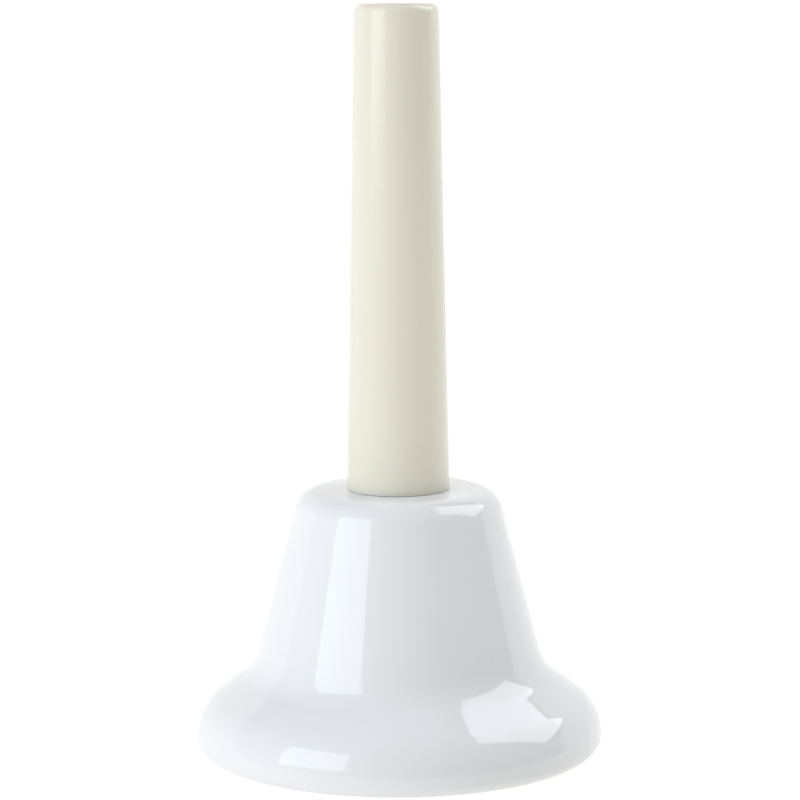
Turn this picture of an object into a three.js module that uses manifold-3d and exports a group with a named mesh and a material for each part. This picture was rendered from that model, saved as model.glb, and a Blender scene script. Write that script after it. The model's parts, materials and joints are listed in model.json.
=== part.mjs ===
// A small handbell: an enamelled steel cup with a flared mouth, a tapered moulded handle clamped on its
// crown, and a ball clapper that swings left and right inside it. Millimetres, +Z up. The origin is the
// centre of the mouth, on the plane that the rim stands on. The clapper's axle runs along Y.

import * as THREE from "three";
import { mergeVertices } from "three/addons/utils/BufferGeometryUtils.js";
import Module from "manifold-3d";

const wasm = await Module();
wasm.setup();

// Driving dimensions

const GAP = 0.1; // left between faces that rest on each other
const SLOPE = { flare: 36.3, wall: 75.5 }; // degrees below the horizontal
const CUP = { mouth: 40, wall: 1.2, lip: 2.9, belly: 10, flare: 5.6, throat: 10, side: 29, shoulder: 5.1 };
const RIM_FLANGE = 1.7; // flat part of the inturned rim
const RIM_EDGE = 0.6; // rounding of its free edge
const HANDLE = { base: 10.05, top: 8.15, length: 93.6, round: 1.8, edge: 0.3, wall: 2.2, cap: 2.6 };
const SOCKET = { radius: 7.3, depth: 18 }; // counterbore in the handle's foot, filled by the plug
const CROWN_WASHER = { radius: 9.2, thick: 0.3 };
const INNER_WASHER = { radius: 5, thick: 0.8 };
const SCREW = { radius: 2, length: 18.5, head: 3.5, headHeight: 2.3, dome: 1.4, point: 0.7 };
const RECESS = { length: 3.6, width: 0.9, depth: 1.2 }; // cross recess in the screw's head
const SCREW_HOLE = 2.3;
const INSERT = { radius: 3.1, length: 14, waist: 2.8 };
const LOCK_WASHER = { radius: 3.9, thick: 0.7, teeth: 12, notch: 0.5 };
const YOKE = { sheet: 1.2, bend: 1.6, width: 7, between: 9, plate: 18 };
const PIVOT = 40; // height of the clapper's axle
const PIN = { radius: 1.25, head: 2.3, headHeight: 0.9, dome: 0.5, tail: 1.2, groove: 0.9 };
const CHAMFER = 0.4; // on the free ends of the pin and the rod
const RUNNING = 0.08; // radial clearance on the axle
const CLIP = { radius: 2.5, thick: 0.4, mouth: 1.5 };
const SPACER = { radius: 2.8, thick: 0.9 };
const BUSH = { radius: 1.95 };
const EYE = { radius: 3.4, boss: 2.5, drop: 7.5 };
const ROD = { radius: 1.5, top: 3, end: 36.4 }; // top and end are measured down from the axle
const HEAD = { drop: 26, radius: 8, flat: 6.6, groove: 6.9, grooveHeight: 4 };
const RING = { radius: 9.3, height: 3.6, round: 1.2 };
const NUT = { flats: 5.5, height: 2.4 };
const NUT_WASHER = { radius: 3.5, thick: 0.5 };
const SPRING = { sheet: 0.4, width: 6, inner: 4.4, bend: 0.8, leg: 11.4, tip: 31 };
const RIVET = { place: 7, radius: 1, head: 1.7, headHeight: 0.5 };
const PAD = { thick: 1.2, width: 5, height: 4.4 };

const FINE = 48; // segments round the cup and the handle
const SMALL = 16; // segments round the hardware

const LOOKS = {
  enamel: { color: 0xf0f2f4, roughness: 0.15, metalness: 0 },
  ivory: { color: 0xe8e3d4, roughness: 0.35, metalness: 0 },
  nylon: { color: 0xdedbd0, roughness: 0.5, metalness: 0 },
  steel: { color: 0xb4b8bc, roughness: 0.35, metalness: 1 },
  bronze: { color: 0xb98a4e, roughness: 0.3, metalness: 1 },
  brass: { color: 0xcfa958, roughness: 0.3, metalness: 1 },
  fibre: { color: 0x4a3328, roughness: 0.8, metalness: 0 },
  felt: { color: 0x8c2f2b, roughness: 0.95, metalness: 0 },
  rubber: { color: 0x26262a, roughness: 0.7, metalness: 0 },
};

// Geometry helpers

const point = (x, y) => new THREE.Vector2(x, y);

function piece(name, geometry, look) {
  const mesh = new THREE.Mesh(geometry, new THREE.MeshStandardMaterial(LOOKS[look]));
  mesh.name = name;
  return mesh;
}

// Revolves (radius, height) points about Z. They run up the outside and down the inside.
function turned(points, segments = SMALL) {
  return new THREE.LatheGeometry(points, segments).rotateX(Math.PI / 2);
}

function tube(inner, outer, low, high, segments = SMALL) {
  const corners = [point(inner, low), point(outer, low), point(outer, high), point(inner, high)];
  return turned([...corners, corners[0]], segments);
}

function rod(radius, low, high, segments = SMALL) {
  return turned([point(0, low), point(radius, low), point(radius, high), point(0, high)], segments);
}

// Lays geometry made along Z along Y instead, its top towards +Y.
const alongY = (geometry) => geometry.rotateX(-Math.PI / 2);

// A flat outline with corners spread evenly round the origin, each at its own radius.
function starred(corners, radiusAt) {
  const spread = Array.from({ length: corners }, (_, i) => {
    const angle = (2 * Math.PI * i) / corners;
    return point(Math.cos(angle), Math.sin(angle)).multiplyScalar(radiusAt(i));
  });
  return new THREE.Shape(spread);
}

// Extrudes a flat outline by depth, centred on its own plane.
function slab(shape, depth) {
  const settings = { depth, bevelEnabled: false, curveSegments: SMALL / 4 };
  return new THREE.ExtrudeGeometry(shape, settings).translate(0, 0, -depth / 2);
}

// Stands an outline drawn in (x, height) up, with its depth along Y.
const uprightX = (shape, depth) => slab(shape, depth).rotateX(Math.PI / 2);

// Stands an outline drawn in (y, height) up, with its depth along X.
const uprightY = (shape, depth) => slab(shape, depth).rotateX(Math.PI / 2).rotateZ(Math.PI / 2);

function solid(geometry) {
  const bare = geometry.clone();
  bare.deleteAttribute("normal");
  bare.deleteAttribute("uv");
  const merged = mergeVertices(bare);
  const index = merged.index.array;
  const corners = [];
  for (let i = 0; i < index.length; i += 3) {
    const [a, b, c] = index.slice(i, i + 3);
    if (a !== b && b !== c && c !== a) corners.push(a, b, c);
  }
  const vertProperties = merged.attributes.position.array;
  return new wasm.Manifold(new wasm.Mesh({ numProp: 3, vertProperties, triVerts: new Uint32Array(corners) }));
}

function geometryOf(manifold) {
  const mesh = manifold.getMesh();
  const geometry = new THREE.BufferGeometry();
  geometry.setAttribute("position", new THREE.BufferAttribute(mesh.vertProperties, 3));
  geometry.setIndex(new THREE.BufferAttribute(mesh.triVerts, 1));
  return geometry;
}

function cut(body, ...tools) {
  return geometryOf(tools.reduce((left, tool) => left.subtract(solid(tool)), solid(body)));
}

const join = (one, other) => geometryOf(solid(one).add(solid(other)));

const common = (one, other) => geometryOf(solid(one).intersect(solid(other)));

// Cup

// The outward normal of a surface that slopes down by this many degrees.
function normal(slope) {
  const angle = THREE.MathUtils.degToRad(slope);
  return point(Math.sin(angle), Math.cos(angle));
}

// The direction up along such a surface.
const upwards = (slope) => point(-normal(slope).y, normal(slope).x);

// The cup's side is four bends joined by two straight stretches. A hollow bend has a negative radius.
function cupBends() {
  const lip = point(CUP.mouth - CUP.lip, CUP.lip);
  const belly = point(CUP.mouth - CUP.belly, CUP.lip);
  const flareTop = belly
    .clone()
    .addScaledVector(normal(SLOPE.flare), CUP.belly)
    .addScaledVector(upwards(SLOPE.flare), CUP.flare);
  const throat = flareTop.clone().addScaledVector(normal(SLOPE.flare), CUP.throat);
  const sideTop = throat
    .clone()
    .addScaledVector(normal(SLOPE.wall), -CUP.throat)
    .addScaledVector(upwards(SLOPE.wall), CUP.side);
  const shoulder = sideTop.clone().addScaledVector(normal(SLOPE.wall), -CUP.shoulder);
  return [
    { centre: lip, radius: CUP.lip, from: 180, to: 90, steps: 3 },
    { centre: belly, radius: CUP.belly, from: 90, to: SLOPE.flare, steps: 4 },
    { centre: throat, radius: -CUP.throat, from: SLOPE.flare, to: SLOPE.wall, steps: 4 },
    { centre: shoulder, radius: CUP.shoulder, from: SLOPE.wall, to: 0, steps: 4 },
  ];
}

const BENDS = cupBends();
const CROWN = BENDS[3].centre.y + CUP.shoulder; // height of the crown's top face
const UNDER_CROWN = CROWN - CUP.wall;

function bendPoints({ centre, radius, from, to, steps }, inset) {
  const points = [];
  for (let i = 0; i <= steps; i += 1) {
    const slope = THREE.MathUtils.lerp(from, to, i / steps);
    points.push(centre.clone().addScaledVector(normal(slope), radius - inset));
  }
  return points;
}

// The side from the rim up to the edge of the crown, moved inwards by inset.
function cupSide(inset) {
  const points = BENDS.flatMap((bend) => bendPoints(bend, inset));
  return points.filter((p, i) => i === 0 || p.distanceTo(points[i - 1]) > 1e-6);
}

// The sheet turns in under the mouth and ends in a flat flange with a rounded edge.
function flangeEdge() {
  const edge = { centre: point(CUP.mouth - CUP.lip - RIM_FLANGE, RIM_EDGE), radius: RIM_EDGE };
  return bendPoints({ ...edge, from: 360, to: 180, steps: 2 }, 0);
}

function bellCup() {
  const inside = cupSide(CUP.wall).reverse();
  const hole = [point(SCREW_HOLE, CROWN), point(SCREW_HOLE, UNDER_CROWN)];
  const loop = [...cupSide(0), ...hole, ...inside, ...flangeEdge()];
  return piece("bell_cup", turned([...loop, loop[0]], FINE), "enamel");
}

// Handle

const HANDLE_FOOT = CROWN + CROWN_WASHER.thick + 2 * GAP;
const HANDLE_END = HANDLE_FOOT + HANDLE.length;
const SOCKET_TOP = HANDLE_FOOT + SOCKET.depth;

function handleGrip() {
  const round = { centre: point(HANDLE.top - HANDLE.round, HANDLE_END - HANDLE.round), radius: HANDLE.round };
  const points = [
    point(0, HANDLE_END - HANDLE.cap),
    point(HANDLE.top - HANDLE.wall, HANDLE_END - HANDLE.cap),
    point(SOCKET.radius - 1, SOCKET_TOP),
    point(SOCKET.radius, SOCKET_TOP),
    point(SOCKET.radius, HANDLE_FOOT),
    point(HANDLE.base - HANDLE.edge, HANDLE_FOOT),
    point(HANDLE.base, HANDLE_FOOT + HANDLE.edge),
    ...bendPoints({ ...round, from: 90, to: 0, steps: 4 }, 0),
    point(0, HANDLE_END),
  ];
  return piece("handle_grip", turned(points, FINE), "ivory");
}

function handlePlug() {
  const [inner, outer] = [INSERT.radius + GAP, SOCKET.radius - GAP];
  return piece("handle_plug", tube(inner, outer, HANDLE_FOOT + GAP, SOCKET_TOP - GAP, FINE), "nylon");
}

// The insert has a knurled middle, drawn as a waist between two collars.
function threadedInsert() {
  const low = HANDLE_FOOT + 2 * GAP;
  const high = low + INSERT.length;
  const bore = SCREW.radius + GAP;
  const loop = [
    point(bore, low),
    point(INSERT.radius, low),
    point(INSERT.radius, low + INSERT.length * 0.4),
    point(INSERT.waist, low + INSERT.length * 0.45),
    point(INSERT.waist, low + INSERT.length * 0.55),
    point(INSERT.radius, low + INSERT.length * 0.6),
    point(INSERT.radius, high),
    point(bore, high),
  ];
  return piece("threaded_insert", turned([...loop, loop[0]]), "brass");
}

// Clamp stack under the crown, from the top down

const YOKE_TOP = UNDER_CROWN - INNER_WASHER.thick - 2 * GAP;
const YOKE_UNDER = YOKE_TOP - YOKE.sheet;
const LOCK_TOP = YOKE_UNDER - GAP;
const SCREW_SEAT = LOCK_TOP - LOCK_WASHER.thick - GAP;

function washers() {
  const crownLow = CROWN + GAP;
  const innerTop = UNDER_CROWN - GAP;
  const { radius: crownRadius, thick: crownThick } = CROWN_WASHER;
  const { radius: innerRadius, thick: innerThick } = INNER_WASHER;
  const crown = tube(SCREW_HOLE, crownRadius, crownLow, crownLow + crownThick, FINE);
  const inner = tube(SCREW_HOLE, innerRadius, innerTop - innerThick, innerTop);
  return [piece("crown_washer", crown, "fibre"), piece("inner_washer", inner, "fibre")];
}

// A ring with short teeth round its rim.
function lockWasher() {
  const { radius, thick, teeth, notch } = LOCK_WASHER;
  const outline = starred(2 * teeth, (i) => radius - (i % 2) * notch);
  const ring = cut(slab(outline, thick), rod(SCREW.radius + GAP, -thick, thick));
  return piece("lock_washer", ring.translate(0, 0, LOCK_TOP - thick / 2), "steel");
}

// Pan-head screw with a cross recess, its head downwards.
function clampScrew() {
  const underside = SCREW_SEAT - SCREW.headHeight;
  const dome = { centre: point(SCREW.head - SCREW.dome, underside + SCREW.dome), radius: SCREW.dome };
  const points = [
    point(0, underside),
    ...bendPoints({ ...dome, from: 180, to: 90, steps: 3 }, 0),
    point(SCREW.head, SCREW_SEAT),
    point(SCREW.radius, SCREW_SEAT),
    point(SCREW.radius, SCREW_SEAT + SCREW.length - SCREW.point),
    point(SCREW.radius - SCREW.point, SCREW_SEAT + SCREW.length),
    point(0, SCREW_SEAT + SCREW.length),
  ];
  const slot = new THREE.BoxGeometry(RECESS.length, RECESS.width, 2 * RECESS.depth);
  slot.translate(0, 0, underside);
  return piece("clamp_screw", cut(turned(points), slot, slot.clone().rotateZ(Math.PI / 2)), "steel");
}

// Yoke and axle

// The bracket's end view: a sheet folded down at both sides of the clapper's eye.
function yokeFold() {
  const inner = YOKE.between / 2;
  const outer = inner + YOKE.sheet;
  const low = PIVOT - YOKE.width / 2;
  const bend = YOKE.bend;
  const shape = new THREE.Shape();
  shape.moveTo(-outer, low);
  shape.lineTo(-inner, low);
  shape.lineTo(-inner, YOKE_UNDER);
  shape.lineTo(inner, YOKE_UNDER);
  shape.lineTo(inner, low);
  shape.lineTo(outer, low);
  shape.absarc(outer - bend, YOKE_TOP - bend, bend, 0, Math.PI / 2, false);
  shape.absarc(bend - outer, YOKE_TOP - bend, bend, Math.PI / 2, Math.PI, false);
  return shape;
}

// Its side view: two round-ended legs under a wide plate.
function yokeOutline() {
  const half = YOKE.width / 2;
  const shape = new THREE.Shape();
  shape.absarc(0, PIVOT, half, Math.PI, 2 * Math.PI, false);
  shape.lineTo(half, YOKE_UNDER);
  shape.lineTo(YOKE.plate / 2, YOKE_UNDER);
  shape.lineTo(YOKE.plate / 2, YOKE_TOP + 1);
  shape.lineTo(-YOKE.plate / 2, YOKE_TOP + 1);
  shape.lineTo(-YOKE.plate / 2, YOKE_UNDER);
  shape.lineTo(-half, YOKE_UNDER);
  return shape;
}

function yoke() {
  const body = common(uprightY(yokeFold(), YOKE.plate + 2), uprightX(yokeOutline(), 2 * YOKE.between));
  const reach = YOKE.between;
  const axleHole = alongY(rod(PIN.radius + RUNNING, -reach, reach)).translate(0, 0, PIVOT);
  const screwHole = rod(SCREW_HOLE, YOKE_UNDER - 1, YOKE_TOP + 1);
  const rivetHole = rod(RIVET.radius + GAP, YOKE_UNDER - 1, YOKE_TOP + 1);
  const rivetHoles = [-1, 1].map((side) => rivetHole.clone().translate(side * RIVET.place, 0, 0));
  return piece("yoke", cut(body, axleHole, screwHole, ...rivetHoles), "steel");
}

const YOKE_FACE = YOKE.between / 2 + YOKE.sheet; // outer face of a leg, from the middle
const CLIP_PLACE = YOKE_FACE + 2 * GAP;

// The pin's head is at the front, and the groove for its clip at the back.
function axlePin() {
  const headTop = -YOKE_FACE - GAP;
  const dome = { centre: point(PIN.head - PIN.dome, headTop - PIN.headHeight + PIN.dome), radius: PIN.dome };
  const tail = CLIP_PLACE + CLIP.thick + PIN.tail;
  const points = [
    point(0, headTop - PIN.headHeight),
    ...bendPoints({ ...dome, from: 180, to: 90, steps: 2 }, 0),
    point(PIN.head, headTop),
    point(PIN.radius, headTop),
    point(PIN.radius, CLIP_PLACE - GAP),
    point(PIN.groove, CLIP_PLACE - GAP),
    point(PIN.groove, CLIP_PLACE + CLIP.thick + GAP),
    point(PIN.radius, CLIP_PLACE + CLIP.thick + GAP),
    point(PIN.radius, tail - CHAMFER),
    point(PIN.radius - CHAMFER, tail),
    point(0, tail),
  ];
  return piece("axle_pin", alongY(turned(points)).translate(0, 0, PIVOT), "steel");
}

// A flat C-shaped clip that snaps into the pin's groove from below.
function axleClip() {
  const inner = PIN.groove + GAP;
  const half = CLIP.mouth / 2;
  const [innerAngle, outerAngle] = [Math.asin(half / inner), Math.asin(half / CLIP.radius)];
  const down = -Math.PI / 2;
  const shape = new THREE.Shape();
  shape.absarc(0, 0, CLIP.radius, down + outerAngle, down - outerAngle + 2 * Math.PI, false);
  shape.absarc(0, 0, inner, down - innerAngle + 2 * Math.PI, down + innerAngle, true);
  const flat = uprightX(shape, CLIP.thick).translate(0, CLIP_PLACE + CLIP.thick / 2, PIVOT);
  return piece("axle_clip", flat, "steel");
}

function axleSpacer(name, side) {
  const outer = YOKE.between / 2 - GAP;
  const ring = alongY(tube(PIN.radius + RUNNING, SPACER.radius, outer - SPACER.thick, outer));
  if (side < 0) ring.rotateZ(Math.PI);
  return piece(name, ring.translate(0, 0, PIVOT), "nylon");
}

// Return springs: a leaf riveted under each side of the yoke's plate, with a felt pad that meets the rod

const LEAF_TOP = YOKE_UNDER - GAP;

function leafOutline() {
  const { sheet, inner, bend, leg, tip } = SPRING;
  const outerBend = bend + sheet;
  const shape = new THREE.Shape();
  shape.moveTo(inner, LEAF_TOP - sheet);
  shape.absarc(leg - outerBend, LEAF_TOP - outerBend, bend, Math.PI / 2, 0, true);
  shape.lineTo(leg - sheet, tip);
  shape.lineTo(leg, tip);
  shape.absarc(leg - outerBend, LEAF_TOP - outerBend, outerBend, 0, Math.PI / 2, false);
  shape.lineTo(inner, LEAF_TOP);
  return shape;
}

function springSide(side, label) {
  const turn = side < 0 ? Math.PI : 0;
  const hole = rod(RIVET.radius + GAP, LEAF_TOP - 1, LEAF_TOP + 1).translate(RIVET.place, 0, 0);
  const leaf = cut(uprightX(leafOutline(), SPRING.width), hole).rotateZ(turn);

  const leafUnder = LEAF_TOP - SPRING.sheet - GAP;
  const tail = YOKE_TOP + GAP;
  const dome = { radius: RIVET.headHeight, steps: 2 };
  const edge = RIVET.head - RIVET.headHeight;
  const rivetPoints = [
    point(0, leafUnder - RIVET.headHeight),
    ...bendPoints({ ...dome, centre: point(edge, leafUnder), from: 180, to: 90 }, 0),
    point(RIVET.radius, leafUnder),
    point(RIVET.radius, tail),
    ...bendPoints({ ...dome, centre: point(edge, tail), from: 90, to: 0 }, 0),
    point(0, tail + RIVET.headHeight),
  ];
  const rivet = turned(rivetPoints).translate(RIVET.place, 0, 0).rotateZ(turn);

  const padCentre = SPRING.leg - SPRING.sheet - GAP - PAD.thick / 2;
  const pad = new THREE.BoxGeometry(PAD.thick, PAD.width, PAD.height)
    .translate(padCentre, 0, SPRING.tip + PAD.height / 2 + GAP)
    .rotateZ(turn);
  return [
    piece(`spring_${label}`, leaf, "bronze"),
    piece(`spring_rivet_${label}`, rivet, "steel"),
    piece(`spring_pad_${label}`, pad, "felt"),
  ];
}

// Clapper, drawn with its axle at the origin and hanging down

function clapperEye() {
  const half = YOKE.between / 2 - SPACER.thick - 2 * GAP;
  const hub = alongY(rod(EYE.radius, -half, half));
  const boss = rod(EYE.boss, -EYE.drop, -BUSH.radius);
  const bore = alongY(rod(BUSH.radius + GAP, -half - 1, half + 1));
  const socket = rod(ROD.radius + GAP, -EYE.drop - 1, GAP - ROD.top);
  return [
    piece("clapper_eye", cut(join(hub, boss), bore, socket), "nylon"),
    piece("eye_bush", alongY(tube(PIN.radius + RUNNING, BUSH.radius, -half, half)), "brass"),
  ];
}

function clapperRod() {
  const points = [
    point(0, -ROD.end),
    point(ROD.radius - CHAMFER, -ROD.end),
    point(ROD.radius, CHAMFER - ROD.end),
    point(ROD.radius, -ROD.top),
    point(0, -ROD.top),
  ];
  return piece("clapper_rod", turned(points), "steel");
}

// A ball with flat ends, a hole for the rod and a groove for the striker ring.
function clapperHead() {
  const { drop, radius, flat, groove, grooveHeight } = HEAD;
  const hole = ROD.radius + GAP;
  const flatSlope = THREE.MathUtils.radToDeg(Math.acos(flat / radius));
  const grooveSlope = THREE.MathUtils.radToDeg(Math.acos(grooveHeight / 2 / radius));
  const ball = { centre: point(0, -drop), radius, steps: 5 };
  const loop = [
    point(hole, -drop - flat),
    ...bendPoints({ ...ball, from: 180 - flatSlope, to: 180 - grooveSlope }, 0),
    point(groove, -drop - grooveHeight / 2),
    point(groove, -drop + grooveHeight / 2),
    ...bendPoints({ ...ball, from: grooveSlope, to: flatSlope }, 0),
    point(hole, flat - drop),
  ];
  return piece("clapper_head", turned([...loop, loop[0]], 2 * SMALL), "nylon");
}

function strikerRing() {
  const inner = HEAD.groove + GAP;
  const half = RING.height / 2;
  const corner = { radius: RING.round, steps: 3 };
  const across = RING.radius - RING.round;
  const low = { ...corner, centre: point(across, RING.round - half - HEAD.drop), from: 180, to: 90 };
  const high = { ...corner, centre: point(across, half - RING.round - HEAD.drop), from: 90, to: 0 };
  const loop = [
    point(inner, -HEAD.drop - half),
    ...bendPoints(low, 0),
    ...bendPoints(high, 0),
    point(inner, half - HEAD.drop),
  ];
  return piece("striker_ring", turned([...loop, loop[0]], 2 * SMALL), "rubber");
}

function nutAndWasher(side, label) {
  const washerMiddle = -HEAD.drop + side * (HEAD.flat + GAP + NUT_WASHER.thick / 2);
  const nutMiddle = washerMiddle + side * (NUT_WASHER.thick / 2 + GAP + NUT.height / 2);
  const hole = ROD.radius + GAP;
  const washerLow = washerMiddle - NUT_WASHER.thick / 2;
  const washer = tube(hole, NUT_WASHER.radius, washerLow, washerLow + NUT_WASHER.thick);
  const hexagon = starred(6, () => NUT.flats / Math.sqrt(3));
  const nut = cut(slab(hexagon, NUT.height), rod(hole, -NUT.height, NUT.height));
  return [
    piece(`${label}_washer`, washer, "steel"),
    piece(`${label}_nut`, nut.translate(0, 0, nutMiddle), "steel"),
  ];
}

// Assembly

const clapper = new THREE.Group();
clapper.position.z = PIVOT;
clapper.add(...clapperEye(), clapperRod(), clapperHead(), strikerRing());
clapper.add(...nutAndWasher(1, "upper"), ...nutAndWasher(-1, "lower"));

const handbell = new THREE.Group();
handbell.add(bellCup(), handleGrip(), handlePlug(), threadedInsert());
handbell.add(...washers(), lockWasher(), clampScrew(), yoke(), axlePin(), axleClip());
handbell.add(axleSpacer("axle_spacer_rear", 1), axleSpacer("axle_spacer_front", -1));
handbell.add(...springSide(-1, "left"), ...springSide(1, "right"), clapper);

export default handbell;
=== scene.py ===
import json
import math

import bmesh
import bpy
from mathutils import Matrix, Vector, noise

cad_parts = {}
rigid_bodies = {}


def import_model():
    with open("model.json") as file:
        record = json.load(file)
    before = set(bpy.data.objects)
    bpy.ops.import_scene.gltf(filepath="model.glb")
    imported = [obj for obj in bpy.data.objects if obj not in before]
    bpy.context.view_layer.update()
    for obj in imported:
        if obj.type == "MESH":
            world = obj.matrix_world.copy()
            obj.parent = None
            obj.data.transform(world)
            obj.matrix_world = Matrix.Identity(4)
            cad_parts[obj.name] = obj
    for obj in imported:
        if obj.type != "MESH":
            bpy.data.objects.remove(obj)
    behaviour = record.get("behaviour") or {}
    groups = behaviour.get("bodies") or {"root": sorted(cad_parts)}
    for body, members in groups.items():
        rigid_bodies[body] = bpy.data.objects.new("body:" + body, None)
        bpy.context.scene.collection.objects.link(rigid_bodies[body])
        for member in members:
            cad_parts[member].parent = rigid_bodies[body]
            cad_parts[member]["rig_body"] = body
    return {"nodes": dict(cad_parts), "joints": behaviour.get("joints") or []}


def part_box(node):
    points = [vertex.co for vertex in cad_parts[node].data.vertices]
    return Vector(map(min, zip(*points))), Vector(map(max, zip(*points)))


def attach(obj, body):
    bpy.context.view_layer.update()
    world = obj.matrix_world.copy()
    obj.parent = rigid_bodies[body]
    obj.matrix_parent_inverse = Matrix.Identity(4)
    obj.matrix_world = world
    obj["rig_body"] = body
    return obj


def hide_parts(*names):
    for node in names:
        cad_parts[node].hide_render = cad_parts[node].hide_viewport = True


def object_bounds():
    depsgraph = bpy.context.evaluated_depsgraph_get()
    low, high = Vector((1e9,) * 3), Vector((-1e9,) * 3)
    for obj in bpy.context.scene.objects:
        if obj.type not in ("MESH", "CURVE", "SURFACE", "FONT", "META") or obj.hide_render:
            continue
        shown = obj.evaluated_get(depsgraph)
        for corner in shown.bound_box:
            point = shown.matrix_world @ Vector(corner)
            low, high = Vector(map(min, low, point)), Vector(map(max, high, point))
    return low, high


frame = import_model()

# A small handbell: a white enamelled cup, an ivory handle, and a clapper that swings under a yoke.
# Every length is in metres. MM turns workshop sizes into them.

MM = 0.001
cad_low, cad_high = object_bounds()
PIVOT = Vector(frame["joints"][0]["pos_m"])

TINY = 0.0001 * MM  # points closer than this are one point
SHARP = math.radians(32)  # edges that turn by more than this look sharp
SLACK = 0.1 * MM  # left beside a piece that sits in a hole or a groove
SCREW_BORE = 2.1 * MM  # radius, in the insert and the toothed washer
SCREW_HOLE = 2.3 * MM  # radius, in the crown, the fibre washers and the yoke
RIVET_HOLE = 1.1 * MM  # radius
RUNNING_BORE = 1.33 * MM  # radius of every hole that the axle passes through
ROD_HOLE = 1.6 * MM  # radius
WASHER_EDGE = 0.08 * MM  # rounding of a stamped washer's corners


# Node trees

def add(tree, kind, inputs=None, **settings):
    """A new node. A socket given as an input is linked, and anything else is set as its value."""
    node = tree.nodes.new(kind)
    for key, value in settings.items():
        setattr(node, key, value)
    for key, value in (inputs or {}).items():
        if isinstance(value, bpy.types.NodeSocket):
            tree.links.new(value, node.inputs[key])
        else:
            node.inputs[key].default_value = value
    return node


def shape_tree(name, **inputs):
    """A geometry tree with named inputs, its input sockets, and a function that closes it."""
    tree = bpy.data.node_groups.new(name, "GeometryNodeTree")
    kinds = {int: "NodeSocketInt", float: "NodeSocketFloat"}
    tree.interface.new_socket("Section", in_out="INPUT", socket_type="NodeSocketGeometry")
    for label, value in inputs.items():
        socket = tree.interface.new_socket(
            label.replace("_", " "), in_out="INPUT", socket_type=kinds[type(value)]
        )
        socket.default_value = value
    tree.interface.new_socket("Finish", in_out="INPUT", socket_type="NodeSocketMaterial")
    tree.interface.new_socket("Piece", in_out="OUTPUT", socket_type="NodeSocketGeometry")
    given = add(tree, "NodeGroupInput").outputs

    def close(geometry):
        merged = add(tree, "GeometryNodeMergeByDistance", {"Geometry": geometry, "Distance": TINY})
        whole = add(tree, "GeometryNodeRealizeInstances", {"Geometry": merged.outputs[0]})
        surface = {"Geometry": whole.outputs[0], "Material": given["Finish"]}
        coated = add(tree, "GeometryNodeSetMaterial", surface)
        add(tree, "NodeGroupOutput", {"Piece": coated.outputs[0]})
        return tree

    return tree, given, close


def turning_tree():
    """Turns a section about Z, after rounding each of its corners by the corner's own radius."""
    tree, given, close = shape_tree("turn_section", Steps_Round=96, Steps_Per_Corner=8)
    outline = add(tree, "GeometryNodeMeshToCurve", {"Mesh": given["Section"]})
    radius = add(tree, "GeometryNodeInputNamedAttribute", {"Name": "rounding"}, data_type="FLOAT")
    rounded = add(
        tree,
        "GeometryNodeFilletCurve",
        {
            "Curve": outline.outputs[0],
            "Count": given["Steps Per Corner"],
            "Radius": radius.outputs["Attribute"],
        },
        mode="POLY",
    )
    spot = add(tree, "GeometryNodeCaptureAttribute", {"Geometry": rounded.outputs[0]})
    spot.capture_items.new("VECTOR", "Spot")
    tree.links.new(add(tree, "GeometryNodeInputPosition").outputs[0], spot.inputs["Spot"])

    columns = add(tree, "ShaderNodeMath", {0: given["Steps Round"], 1: 1.0}, operation="ADD")
    line = add(tree, "GeometryNodeCurvePrimitiveLine")
    division = {"Curve": line.outputs[0], "Count": columns.outputs[0]}
    steps = add(tree, "GeometryNodeResampleCurve", division)
    share = add(tree, "GeometryNodeCaptureAttribute", {"Geometry": steps.outputs[0]})
    share.capture_items.new("FLOAT", "Share")
    tree.links.new(add(tree, "GeometryNodeSplineParameter").outputs["Factor"], share.inputs["Share"])

    swept = {"Curve": spot.outputs[0], "Profile Curve": share.outputs[0]}
    sheet = add(tree, "GeometryNodeCurveToMesh", swept)
    turn = add(tree, "ShaderNodeMath", {0: share.outputs["Share"], 1: math.tau}, operation="MULTIPLY")
    place = add(
        tree,
        "ShaderNodeVectorRotate",
        {"Vector": spot.outputs["Spot"], "Angle": turn.outputs[0]},
        rotation_type="Z_AXIS",
    )
    turned = add(
        tree, "GeometryNodeSetPosition", {"Geometry": sheet.outputs[0], "Position": place.outputs[0]}
    )
    return close(turned.outputs[0])


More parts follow.
